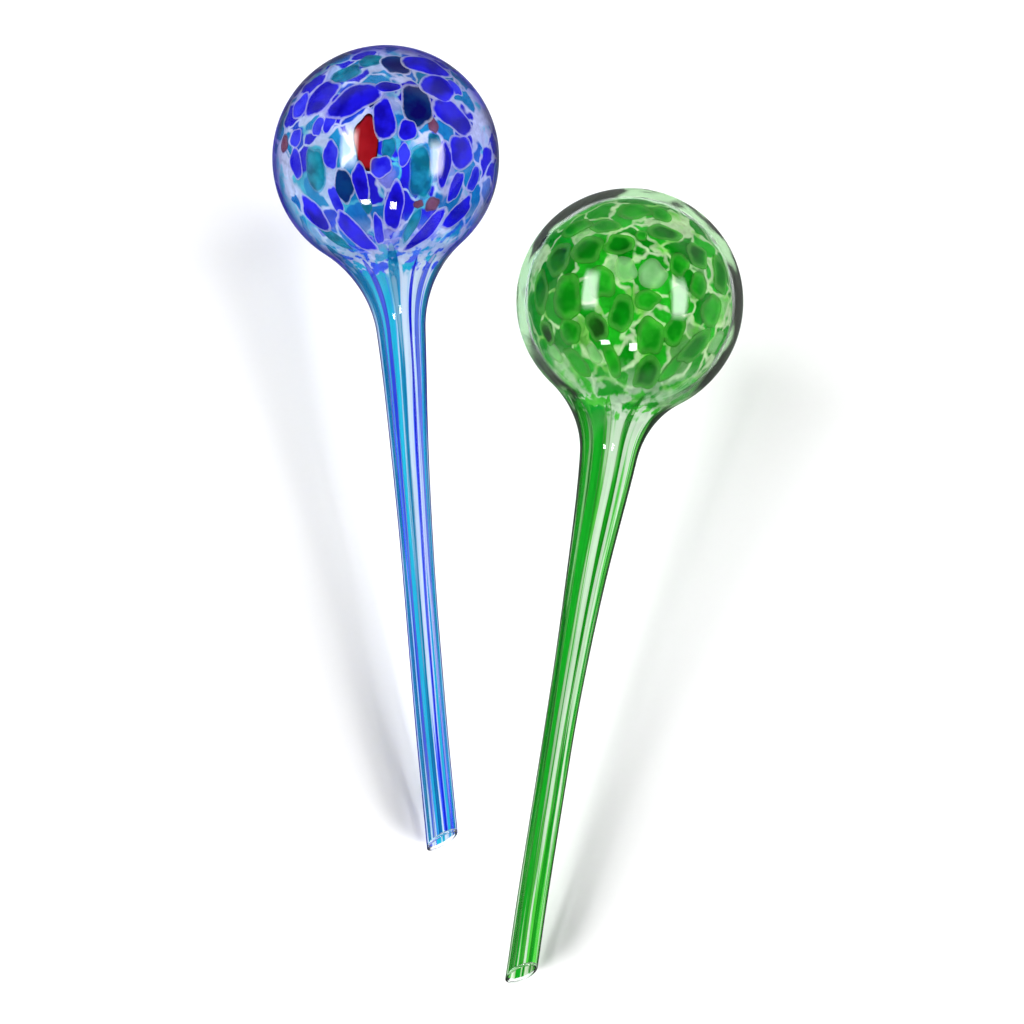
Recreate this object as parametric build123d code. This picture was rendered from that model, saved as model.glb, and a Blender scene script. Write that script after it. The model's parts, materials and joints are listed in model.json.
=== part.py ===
"""A pair of blown-glass watering globes, one blue and one green, lying side by side on a flat surface.

Each globe is a hollow ball on a long hollow stem with a slanted, open mouth. Its wall has three fused
layers of glass: a clear casing outside, a coloured layer in the middle and a clear lining around the
water. In the coloured layer, chips of glass lie in a pale ground over the ball, and below the neck
they are drawn out into streaks that run down to the mouth.

Each globe is first made upright, with its ball's centre at zero, its stem straight down and the side
that is seen in front facing -Y. It is then laid down, so that its ball and mouth rest at height zero,
with its front side up. The origin is under the middle of the pair.
"""

from build123d import *
import os
from dataclasses import dataclass
from functools import reduce
from math import cos, hypot, radians, sin, sqrt, tan

# Sizes that both globes share, in millimetres
bulb_radius = 40.0
taper_reach = 165.0  # from the ball's centre down to where the stem runs straight
casing_split_reach = 62.0  # from the ball's centre down to where the casing's stem piece starts
casing_bulb_wall = 1.5
colour_bulb_wall = 0.8
lining_bulb_wall = 0.6
casing_stem_wall = 0.4
colour_stem_wall = 0.35
lining_stem_wall = 0.3
cut_overrun = 2.0

# The blue globe, in millimetres and degrees
blue_stem_radius = 5.7
blue_stem_reach = 244.0  # from the ball's centre to the middle of the mouth
blue_neck_radius = 41.0  # the hollow curve under the ball
blue_taper_radius = 1800.0  # the long, slight curve that the stem narrows by
blue_heading = 4.7  # the stem's turn to the right, seen from above
blue_side_slant = 24.6  # how much longer the mouth's left side is
blue_front_slant = 26.4  # how much shorter the mouth's front side is

# The green globe, in millimetres and degrees
green_stem_radius = 5.4
green_stem_reach = 243.0
green_neck_radius = 32.0
green_taper_radius = 1260.0
green_heading = -9.1
green_side_slant = 27.5
green_front_slant = 34.6

# How the pair lies, from the blue ball's centre to the green one's, in millimetres
pair_spread = 85.8
pair_stagger = 50.3

# The coloured layer. A chip's tool reaches from under the layer to this share of the ball's radius
plug_reach_share = 1.25
# Where the streaks start below the ball's centre, as a share of its radius
streak_head_share = 0.95
# A chip's corners, from its right side round, as shares of the oval that it fills
chip_corner_shares = (1.0, 0.93, 1.0, 0.96, 1.0, 0.9, 1.0, 0.94, 0.98, 0.95)
# Chips around the sides, where front and back meet: width, height and first and last place, as shares
# of the ball's radius and of a whole turn from the right, seen from above
side_chip_size_shares = (0.17, 0.26)
side_chip_turn_shares = (-0.13, 0.63)
side_chip_count = 10

# Chips on the front, as seen from above the lying globe: place to the right and up, width and height,
# all as shares of the ball's radius, and the turn in degrees. The back has the same, half a turn round
blue_chip_shares = {
    "cobalt": [
        (0.47, 0.62, 0.25, 0.19, -20), (-0.29, 0.50, 0.42, 0.22, 30), (0.02, 0.62, 0.21, 0.08, 5),
        (0.65, 0.33, 0.13, 0.28, 10), (0.68, 0.04, 0.17, 0.29, 0), (0.20, 0.23, 0.14, 0.19, -15),
        (-0.01, 0.33, 0.17, 0.34, 5), (0.50, 0.42, 0.12, 0.13, 0), (-0.58, 0.53, 0.17, 0.28, -25),
        (0.53, -0.08, 0.10, 0.38, 0), (0.63, -0.27, 0.09, 0.24, -8), (0.08, -0.46, 0.15, 0.38, -3),
        (-0.22, -0.24, 0.13, 0.30, 4), (-0.27, -0.69, 0.15, 0.34, 25), (0.37, -0.66, 0.12, 0.32, -20),
        (0.65, -0.50, 0.11, 0.26, -35), (-0.63, -0.52, 0.14, 0.26, 32), (0.35, 0.82, 0.30, 0.13, -20),
    ],
    "light_cobalt": [
        (-0.60, 0.27, 0.08, 0.15, -10), (-0.50, 0.31, 0.09, 0.18, -6), (-0.75, 0.46, 0.11, 0.16, -25),
        (-0.80, 0.17, 0.08, 0.15, -6), (-0.80, -0.06, 0.08, 0.26, 4), (-0.49, 0.01, 0.12, 0.23, 0),
        (-0.04, -0.10, 0.17, 0.17, 0), (0.17, 0.01, 0.10, 0.18, -6), (-0.06, -0.66, 0.08, 0.22, 0),
        (0.61, 0.62, 0.09, 0.11, -30), (-0.44, -0.40, 0.09, 0.22, 16), (0.79, -0.20, 0.07, 0.20, -6),
    ],
    "navy": [
        (0.09, 0.83, 0.22, 0.15, 0), (0.28, 0.46, 0.24, 0.36, 0), (-0.13, 0.52, 0.13, 0.15, 0),
        (-0.37, -0.27, 0.14, 0.28, 8),
    ],
    "teal": [
        (-0.14, 0.86, 0.17, 0.10, 8), (-0.36, 0.74, 0.24, 0.11, 30), (0.03, 0.07, 0.12, 0.16, 0),
        (0.32, -0.15, 0.19, 0.42, -4), (0.24, -0.62, 0.08, 0.28, -12), (-0.63, -0.12, 0.14, 0.36, 6),
        (0.44, 0.13, 0.10, 0.14, 0), (-0.46, -0.72, 0.08, 0.20, 34), (-0.16, -0.44, 0.08, 0.14, 8),
    ],
    "red": [(-0.17, 0.12, 0.19, 0.40, 4)],
    "mauve": [
        (0.43, 0.28, 0.08, 0.13, 0), (0.42, -0.43, 0.10, 0.12, -10), (0.30, -0.43, 0.08, 0.07, 0),
        (-0.90, 0.12, 0.05, 0.14, -8),
    ],
}
blue_side_chips = ("cobalt", "navy", "light_cobalt", "teal", "cobalt")
green_chip_shares = {
    "deep": [
        (-0.41, 0.47, 0.24, 0.22, -10), (0.31, 0.63, 0.26, 0.12, -18), (0.62, 0.42, 0.15, 0.18, -20),
        (0.83, 0.24, 0.10, 0.28, -12), (-0.83, 0.08, 0.10, 0.34, 4), (-0.11, 0.52, 0.23, 0.16, 0),
        (-0.09, -0.13, 0.19, 0.32, 0), (0.60, -0.43, 0.14, 0.30, -30), (0.15, -0.68, 0.20, 0.26, -4),
    ],
    "leaf": [
        (0.10, 0.60, 0.09, 0.09, 0), (-0.24, 0.69, 0.23, 0.10, 10), (0.03, 0.83, 0.28, 0.12, 0),
        (0.28, 0.80, 0.15, 0.11, -18), (-0.51, 0.67, 0.20, 0.10, 32), (0.45, 0.33, 0.15, 0.19, -10),
        (-0.60, 0.03, 0.22, 0.38, 0), (-0.57, -0.29, 0.16, 0.21, 10), (0.15, 0.00, 0.20, 0.17, 0),
        (0.18, -0.34, 0.21, 0.32, 0), (0.41, -0.28, 0.17, 0.26, -8), (-0.17, -0.57, 0.11, 0.27, 4),
        (-0.49, -0.58, 0.12, 0.22, 30), (0.75, -0.10, 0.14, 0.27, -4), (-0.28, 0.17, 0.21, 0.27, 0),
        (0.45, -0.01, 0.17, 0.22, 0), (0.63, 0.14, 0.13, 0.21, -8), (0.39, -0.62, 0.10, 0.26, -22),
    ],
    "olive": [
        (-0.67, 0.39, 0.16, 0.24, -20), (-0.32, -0.25, 0.16, 0.24, 6), (-0.77, -0.30, 0.08, 0.20, 14),
    ],
    "pale": [
        (0.20, 0.24, 0.24, 0.22, 0), (-0.05, 0.29, 0.17, 0.20, 0), (-0.34, -0.50, 0.10, 0.16, 15),
        (-0.70, -0.48, 0.08, 0.16, 30), (0.79, -0.38, 0.08, 0.16, -24),
    ],
}
green_side_chips = ("deep", "leaf", "olive", "leaf", "pale")

# Streaks, each from and to a share of a whole turn, from the left by way of the front. The back of the
# stem has the same, half a turn round
blue_streak_shares = {
    "cobalt": [(0.00, 0.05), (0.30, 0.325), (0.455, 0.50)],
    "teal": [(0.06, 0.135), (0.215, 0.265), (0.40, 0.445)],
    "periwinkle": [(0.14, 0.185), (0.355, 0.395)],
}
green_streak_shares = {
    "deep": [(0.00, 0.025), (0.045, 0.165), (0.295, 0.335)],
    "leaf": [(0.205, 0.25), (0.41, 0.455)],
    "olive": [(0.465, 0.495)],
}

half_turn = 180
whole_turn = 360
settling_rounds = 20


@dataclass
class Layer:
    """One side of a layer of glass: its radius on the ball and on the straight stem."""

    bulb: float
    stem: float

    def inside(self, bulb_wall, stem_wall):
        """The far side of glass this thick that lies within this one."""
        return Layer(self.bulb - bulb_wall, self.stem - stem_wall)


@dataclass
class Globe:
    """One globe's own sizes, and the chips and streaks of each colour."""

    name: str
    stem_radius: float
    stem_reach: float
    neck_radius: float
    taper_radius: float
    heading: float
    side_slant: float
    front_slant: float
    chips: dict
    side_chips: tuple
    streaks: dict

    def __post_init__(self):
        self.outside = Layer(bulb_radius, self.stem_radius)
        self.under_casing = self.outside.inside(casing_bulb_wall, casing_stem_wall)
        self.under_colour = self.under_casing.inside(colour_bulb_wall, colour_stem_wall)
        self.bore = self.under_colour.inside(lining_bulb_wall, lining_stem_wall)
        self.side_slope = tan(radians(self.side_slant))
        self.front_slope = tan(radians(self.front_slant))
        self.tilt_sine = self.resting_tilt_sine()
        self.turn = self.lying_turn()

    def resting_tilt_sine(self):
        """The sine of the stem's fall, with the ball and the mouth's lowest point both at height zero."""
        tilt = 0
        for _ in range(settling_rounds):
            upright = sqrt(1 - tilt**2)
            mouth_drop = hypot(self.side_slope * tilt, self.front_slope * tilt + upright)
            tilt = (bulb_radius - self.stem_radius * mouth_drop) / self.stem_reach
        return tilt

    def lying_turn(self):
        """The turn that lays the upright globe down, front side up, with its stem on its heading."""
        rise = Vector(0, sqrt(1 - self.tilt_sine**2), self.tilt_sine)
        laid_down = Plane(origin=(0, 0, 0), x_dir=(1, 0, 0), z_dir=rise).location
        return Rot(0, 0, self.heading) * laid_down

    def upright_way(self, right, up, near):
        """A direction seen from above the lying globe, as it is on the upright one."""
        return (self.turn.inverse() * Pos(right, up, near)).position


def arc_middle(centre, start, end, radius):
    """The middle of the shorter arc from start to end."""
    return centre + ((start + end) / 2 - centre).normalized() * radius


def half_outline(globe, side, end_reach):
    """Half of the shape within one side of a layer, from the ball's top down to end_reach."""
    neck = globe.neck_radius
    taper = globe.taper_radius
    taper_centre = Vector(side.stem + taper, -taper_reach)
    neck_from_ball = side.bulb + neck
    neck_from_taper = taper - neck
    span = taper_centre.length
    along = (neck_from_ball**2 - neck_from_taper**2 + span**2) / (2 * span)
    aside = sqrt(neck_from_ball**2 - along**2)
    way = taper_centre.normalized()
    neck_centre = way * along + Vector(way.Y, -way.X) * aside

    ball_top = Vector(0, side.bulb)
    ball_side = Vector(side.bulb, 0)
    ball_end = neck_centre.normalized() * side.bulb
    neck_end = taper_centre + (neck_centre - taper_centre).normalized() * taper
    taper_end = Vector(side.stem, -taper_reach)
    stem_end = Vector(side.stem, -end_reach)
    axis_end = Vector(0, -end_reach)
    outline = ThreePointArc(ball_top, ball_side, ball_end)
    outline += ThreePointArc(ball_end, arc_middle(neck_centre, ball_end, neck_end, neck), neck_end)
    outline += ThreePointArc(neck_end, arc_middle(taper_centre, neck_end, taper_end, taper), taper_end)
    outline += Polyline(taper_end, stem_end, axis_end, ball_top)
    return make_face(outline.edges())


def raw_reach(globe):
    """How far down the stem is made before its mouth is cut."""
    slant = globe.stem_radius * (globe.side_slope + globe.front_slope)
    return globe.stem_reach + slant + cut_overrun


def layer_section(globe, outer, inner):
    """Half of a layer's cross-section, in the upright globe's XZ plane."""
    reach = raw_reach(globe)
    ring = half_outline(globe, outer, reach) - half_outline(globe, inner, reach + cut_overrun)
    return Plane.XZ * ring


def mouth_cutter(globe):
    """What the slanted cut takes off the end of the stem."""
    depth = 2 * (raw_reach(globe) - globe.stem_reach)
    width = 2 * (depth + globe.stem_radius)
    way = Vector(globe.side_slope, -globe.front_slope, -1)
    plane = Plane(origin=(0, 0, -globe.stem_reach), z_dir=way)
    return plane * Box(width, width, depth, align=(Align.CENTER, Align.CENTER, Align.MIN))


def chip_face(width, height):
    """A broken chip's outline, with its corners on or a little inside an oval this wide and high."""
    corners = []
    for i, share in enumerate(chip_corner_shares):
        around = radians(whole_turn * i / len(chip_corner_shares))
        corners.append((width / 2 * share * cos(around), height / 2 * share * sin(around)))
    return make_face(Polyline(*corners, close=True))


def plug(globe, out, right, width, height, turn):
    """A plug through the coloured layer, square to the ball, with the outline of one chip."""
    start = globe.under_colour.bulb - cut_overrun
    end = bulb_radius * plug_reach_share
    plane = Plane(origin=out * start, x_dir=right, z_dir=out) * Rot(0, 0, turn)
    return extrude(plane * chip_face(width, height), amount=end - start)


def front_plug(globe, right, up, width, height, turn):
    """The plug of a chip on the front. The ball slopes away, so a chip is larger than it is seen."""
    near = sqrt(1 - right**2 - up**2)
    true_width = bulb_radius * width * hypot(1, right / near)
    true_height = bulb_radius * height * hypot(1, up / near)
    out = globe.upright_way(right, up, near)
    sideways = globe.upright_way(near, 0, -right).normalized()
    return plug(globe, out, sideways, true_width, true_height, turn)


def side_plug(globe, turn_share):
    """The plug of a chip on the ball's side, this share of a turn round from the right."""
    around = radians(whole_turn * turn_share)
    width, height = (bulb_radius * share for share in side_chip_size_shares)
    out = globe.upright_way(cos(around), sin(around), 0)
    sideways = globe.upright_way(0, 0, 1)
    return plug(globe, out, sideways, width, height, 0)


def front_plugs(globe):
    """Each front chip's colour and plug."""
    return [
        (colour, front_plug(globe, *place)) for colour, places in globe.chips.items() for place in places
    ]


def side_plugs(globe):
    """Each side chip's colour and plug, in even steps round the ball from one side of the neck."""
    first, last = side_chip_turn_shares
    step = (last - first) / (side_chip_count - 1)
    colours = globe.side_chips
    return [
        (colours[i % len(colours)], side_plug(globe, first + i * step)) for i in range(side_chip_count)
    ]


def meets(tool, other):
    """Whether the boxes of two plugs meet."""
    return tool.bounding_box().overlaps(other.bounding_box())


def cut_chips(colour_layer, plugs, first_cut):
    """Chips with their colours. Where two would cross, the later one ends at the first one's edge."""
    chips = []
    earlier = list(first_cut)
    for colour, tool in plugs:
        chip = colour_layer & tool
        near = [other for other in earlier if meets(tool, other)]
        if near:
            chip -= near
        chips += [(colour, solid) for solid in chip.solids()]
        earlier.append(tool)
    return chips


def half_round(coloured):
    """The same coloured shapes, half a turn round the upright globe."""
    return [(colour, Rot(0, 0, half_turn) * shape) for colour, shape in coloured]


def by_colour(coloured):
    """The shapes of each colour in one list."""
    groups = {}
    for colour, shape in coloured:
        groups.setdefault(colour, []).append(shape)
    return groups


def streak_turns(globe):
    """Each streak's colour, and the degrees that it starts at and spans, on the front and the back."""
    for colour, spans in globe.streaks.items():
        for start, end in spans:
            for side in (0, half_turn):
                yield colour, half_turn + side + whole_turn * start, whole_turn * (end - start)


def sweep_around(section, start, span):
    """A part of a turned shape, over this many degrees."""
    return Rot(0, 0, start) * revolve(section, Axis.Z, span)


def face_below(globe, reach):
    """A tall face beside the upright globe's axis, from this far under the ball's centre past the mouth."""
    height = raw_reach(globe) + 2 * cut_overrun - reach
    return Plane.XZ * Pos(0, -reach) * Rectangle(bulb_radius, height, align=(Align.MIN, Align.MAX))


def make_globe(globe):
    """The upright globe's pieces by name."""
    cutter = mouth_cutter(globe)
    casing_section = layer_section(globe, globe.outside, globe.under_casing)
    stem_face = face_below(globe, casing_split_reach)
    stem_casing = revolve(casing_section & stem_face, Axis.Z)
    lining = revolve(layer_section(globe, globe.under_colour, globe.bore), Axis.Z)
    colour_section = layer_section(globe, globe.under_casing, globe.under_colour)
    colour_layer = revolve(colour_section, Axis.Z)

    front = front_plugs(globe)
    wide = front + half_round(front)
    sides = side_plugs(globe)
    front_chips = cut_chips(colour_layer, front, [])
    side_chips = cut_chips(colour_layer, sides, [tool for _, tool in wide])
    chips = front_chips + half_round(front_chips) + side_chips

    streak_face = face_below(globe, bulb_radius * streak_head_share)
    streak_section = colour_section & streak_face
    streaks = []
    gaps = [tool for _, tool in wide + sides]
    for colour, start, span in streak_turns(globe):
        streak = sweep_around(streak_section, start, span) - cutter
        streaks += [(colour, solid) for solid in streak.solids()]
        gaps.append(sweep_around(streak_face, start, span))

    pieces = {
        "ball_casing": [revolve(casing_section - stem_face, Axis.Z)],
        "stem_casing": [stem_casing - cutter],
        "inner_lining": [lining - cutter],
        "pale_ground": [colour_layer - gaps - cutter],
    }
    pieces.update({f"{colour}_chips": group for colour, group in by_colour(chips).items()})
    pieces.update({f"{colour}_streaks": group for colour, group in by_colour(streaks).items()})
    return pieces


blue_globe = Globe(
    "blue", blue_stem_radius, blue_stem_reach, blue_neck_radius, blue_taper_radius, blue_heading,
    blue_side_slant, blue_front_slant, blue_chip_shares, blue_side_chips, blue_streak_shares,
)
green_globe = Globe(
    "green", green_stem_radius, green_stem_reach, green_neck_radius, green_taper_radius, green_heading,
    green_side_slant, green_front_slant, green_chip_shares, green_side_chips, green_streak_shares,
)
laid_places = {
    "blue": Pos(-pair_spread / 2, pair_stagger / 2, bulb_radius) * blue_globe.turn,
    "green": Pos(pair_spread / 2, -pair_stagger / 2, bulb_radius) * green_globe.turn,
}


def make_pair():
    """All pieces of both globes as they lie, by node name, with the origin under the pair's middle."""
    made = {}
    for globe in (blue_globe, green_globe):
        for piece, solids in make_globe(globe).items():
            made[f"{globe.name}_{piece}"] = laid_places[globe.name] * Compound(solids)
    boxes = [shape.bounding_box() for node, shape in made.items() if node.endswith("casing")]
    middle = reduce(BoundBox.add, boxes).center()
    return {node: Pos(-middle.X, -middle.Y, 0) * shape for node, shape in made.items()}


os.makedirs("parts", exist_ok=True)
for node, shape in make_pair().items():
    export_step(shape, f"parts/{node}.step")
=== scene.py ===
"""A blue and a green blown-glass watering globe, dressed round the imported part, as they lie in the photograph.

Each globe is first worked out upright and in millimetres: the ball's centre at zero, the stem straight down
-Z, the side that is seen in front facing -Y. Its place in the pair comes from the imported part, which gives
the ball's box and the stem's direction. A reach is how far down the stem a point lies from the ball's centre.
"""

import json
import logging
from dataclasses import dataclass, field, replace
from enum import Enum
from functools import cached_property
from typing import Optional, Union

import bpy
import numpy as np
from bpy.types import Material, Mesh, Node, NodeSocket, NodeTree, Object
from mathutils import Matrix, Vector


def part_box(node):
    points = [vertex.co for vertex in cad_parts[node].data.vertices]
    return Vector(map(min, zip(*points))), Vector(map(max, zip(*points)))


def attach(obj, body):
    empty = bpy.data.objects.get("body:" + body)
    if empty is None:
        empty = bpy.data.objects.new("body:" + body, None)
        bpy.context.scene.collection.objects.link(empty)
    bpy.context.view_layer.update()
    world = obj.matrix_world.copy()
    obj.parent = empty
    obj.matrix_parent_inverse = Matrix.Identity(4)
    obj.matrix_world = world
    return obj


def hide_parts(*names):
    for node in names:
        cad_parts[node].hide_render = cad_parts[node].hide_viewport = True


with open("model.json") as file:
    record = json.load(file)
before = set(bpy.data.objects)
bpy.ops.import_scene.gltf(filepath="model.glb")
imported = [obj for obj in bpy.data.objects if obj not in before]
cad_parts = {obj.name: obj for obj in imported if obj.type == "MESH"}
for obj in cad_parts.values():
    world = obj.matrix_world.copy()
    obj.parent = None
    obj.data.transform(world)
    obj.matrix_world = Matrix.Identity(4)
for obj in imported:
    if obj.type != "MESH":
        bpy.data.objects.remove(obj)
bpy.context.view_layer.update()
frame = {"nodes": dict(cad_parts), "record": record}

log = logging.getLogger("watering_globes")
MM = 0.001
TURN = 2 * np.pi
Value = Union[float, tuple, NodeSocket]


class Colourway(Enum):
    """The two globes of the pair."""

    BLUE = "blue"
    GREEN = "green"


class Ray(Enum):
    """The kinds of ray that Light Path tells apart."""

    CAMERA = "Is Camera Ray"
    GLOSSY = "Is Glossy Ray"
    TRANSMISSION = "Is Transmission Ray"
    DIFFUSE = "Is Diffuse Ray"
    SHADOW = "Is Shadow Ray"


def linear(colour: str) -> tuple[float, float, float, float]:
    """Turns an sRGB hex colour into the linear one that shaders take.

    Args:
        colour: The colour as "#rrggbb".

    Returns:
        Linear red, green and blue, and an alpha of 1.
    """
    share = np.array([int(colour[i : i + 2], 16) for i in (1, 3, 5)]) / 255
    bent = np.where(share <= 0.04045, share / 12.92, ((share + 0.055) / 1.055) ** 2.4)
    return (float(bent[0]), float(bent[1]), float(bent[2]), 1.0)


def add_node(
    tree: NodeTree, kind: str, inputs: Optional[dict[Union[int, str], Value]] = None, **settings: object
) -> Node:
    """Adds a node with its settings, its plain values and its links.

    Args:
        tree: The material's or world's node tree.
        kind: The node's type name.
        inputs: For each socket, by name or number, a plain value or the socket that feeds it.
        settings: The node's own properties.

    Returns:
        The new node.
    """
    node = tree.nodes.new(kind)
    for key, setting in settings.items():
        setattr(node, key, setting)
    for key, value in (inputs or {}).items():
        if isinstance(value, NodeSocket):
            tree.links.new(value, node.inputs[key])
        else:
            node.inputs[key].default_value = value
    return node


def closed_faces(rows: int, columns: int, first: int) -> tuple[np.ndarray, np.ndarray]:
    """Faces of a closed surface made of rings between two poles.

    Point (i, j) of the rings has the number first + 1 + i * columns + j. The first pole is number first and
    the last pole comes after the rings. Each ring closes on itself.

    Args:
        rows: How many rings.
        columns: How many points in a ring.
        first: The number of the first pole.

    Returns:
        The four-sided faces and the triangles at the two poles.
    """
    here = np.arange(columns)
    after = (here + 1) % columns
    start = first + 1 + columns * np.arange(rows - 1)[:, None]
    quads = np.stack(
        [start + here, start + after, start + columns + after, start + columns + here], axis=-1
    ).reshape(-1, 4)
    last_ring = first + 1 + columns * (rows - 1)
    top = np.stack([first + 1 + after, first + 1 + here, np.full(columns, first)], axis=-1)
    end = np.stack([last_ring + here, last_ring + after, np.full(columns, last_ring + columns)], axis=-1)
    return quads, np.concatenate([top, end])


def closed_points(rings: np.ndarray) -> np.ndarray:
    """The points of a closed surface: the middle of the first ring, all rings, the middle of the last."""
    flat = rings.reshape(-1, rings.shape[-1])
    return np.concatenate([rings[:1].mean(axis=1), flat, rings[-1:].mean(axis=1)])


def signed_volume(points: np.ndarray, quads: np.ndarray, triangles: np.ndarray) -> float:
    """Six times the volume inside the faces, as a sum of triple products, negative if they face inwards."""
    corners = np.concatenate([quads[:, [0, 1, 2]], quads[:, [0, 2, 3]], triangles])
    a, b, c = (points[corners[:, i]] for i in range(3))
    return float(np.einsum("ij,ij->i", a, np.cross(b, c)).sum())


@dataclass
class Surface:
    """Closed surfaces of one piece, gathered before they become a mesh, in upright millimetres.

    Attributes:
        points: Each surface's points.
        quads: Each surface's four-sided faces.
        triangles: Each surface's triangles.
        notes: For each attribute's name, each surface's values, one for each point.
    """

    points: list[np.ndarray] = field(default_factory=list)
    quads: list[np.ndarray] = field(default_factory=list)
    triangles: list[np.ndarray] = field(default_factory=list)
    notes: dict[str, list[np.ndarray]] = field(default_factory=dict)

    def add(self, rings: np.ndarray, notes: dict[str, np.ndarray]) -> None:
        """Adds a closed surface.

        Args:
            rings: Its rings of points, as an array of rings by columns by 3.
            notes: For each attribute's name, its values on the rings.
        """
        first = sum(len(p) for p in self.points)
        points = closed_points(rings)
        quads, triangles = closed_faces(rings.shape[0], rings.shape[1], 0)
        if signed_volume(points, quads, triangles) < 0:
            quads, triangles = quads[:, ::-1], triangles[:, ::-1]
        self.points.append(points)
        self.quads.append(quads + first)
        self.triangles.append(triangles + first)
        for name, values in notes.items():
            values = values if values.ndim == 3 else values[..., None]
            self.notes.setdefault(name, []).append(closed_points(values))


@dataclass(frozen=True)
class Outline:
    """Half of the outline of one skin of the glass, in millimetres.

    The ball's circle, the neck's hollow circle and the taper's long hollow circle touch one after the other,
    and the last one touches the straight stem.

    Attributes:
        ball: The ball's radius.
        stem: The straight stem's radius.
        neck: The radius of the hollow curve under the ball.
        taper: The radius of the slight curve that the stem narrows by.
        taper_reach: Where the stem runs straight.
    """

    ball: float
    stem: float
    neck: float
    taper: float
    taper_reach: float = 165.0

    def inset(self, ball_depth: float, stem_depth: float) -> "Outline":
        """The skin that lies this deep under this one."""
        return replace(self, ball=self.ball - ball_depth, stem=self.stem - stem_depth)

    def neck_circle(self) -> tuple[float, float]:
        """Where the neck's circle has its middle, as radius and reach, from the sides of a triangle."""
        taper_middle = np.array([self.stem + self.taper, self.taper_reach])
        from_ball, from_taper = self.ball + self.neck, self.taper - self.neck
        span = float(np.hypot(*taper_middle))
        along = (from_ball**2 - from_taper**2 + span**2) / (2 * span)
        aside = np.sqrt(from_ball**2 - along**2)
        way = taper_middle / span
        middle = way * along + np.array([-way[1], way[0]]) * aside
        return float(middle[0]), float(middle[1])

    def ends(self) -> tuple[float, float]:
        """The reaches at which the ball's circle and the neck's circle end."""
        middle = np.array(self.neck_circle())
        taper_middle = np.array([self.stem + self.taper, self.taper_reach])
        ball_end = middle / np.hypot(*middle) * self.ball
        to_neck = (middle - taper_middle) / np.hypot(*(middle - taper_middle))
        return float(ball_end[1]), float((taper_middle + to_neck * self.taper)[1])

    def radius(self, reach: np.ndarray) -> np.ndarray:
        """The outline's distance from the axis at each reach, from the circle that rules there."""
        neck_radius, neck_reach = self.neck_circle()
        ball_end, neck_end = self.ends()
        ball = np.sqrt(np.maximum(self.ball**2 - reach**2, 0))
        neck = neck_radius - np.sqrt(np.maximum(self.neck**2 - (reach - neck_reach) ** 2, 0))
        rise = np.minimum(reach - self.taper_reach, 0)
        taper = self.stem + self.taper - np.sqrt(self.taper**2 - rise**2)
        return np.select([reach <= ball_end, reach <= neck_end], [ball, neck], taper)

    def reaches(self, count: int, end: float) -> np.ndarray:
        """Reaches from near the ball's top to the end, in even steps along the outline.

        Args:
            count: How many reaches.
            end: The last one.

        Returns:
            The reaches. The first step from the top, which a pole closes, is left out.
        """
        ball_end = self.ends()[0]
        turn = np.linspace(0, np.arccos(-ball_end / self.ball), 600)
        fine = np.concatenate([-self.ball * np.cos(turn), np.linspace(ball_end, end, 1800)[1:]])
        steps = np.hypot(np.diff(fine), np.diff(self.radius(fine)))
        run = np.concatenate([[0], np.cumsum(steps)])
        return np.interp(np.linspace(0, run[-1], count + 1)[1:], run, fine)

    def from_centre(self, off_axis: np.ndarray) -> np.ndarray:
        """How far the skin lies from the ball's centre, by the angle from the stem's direction."""
        reach = np.linspace(140, self.ends()[0], 900)
        radius = self.radius(reach)
        angle = np.arctan2(radius, reach)
        return np.interp(off_axis, angle, np.hypot(radius, reach), right=self.ball)


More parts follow.
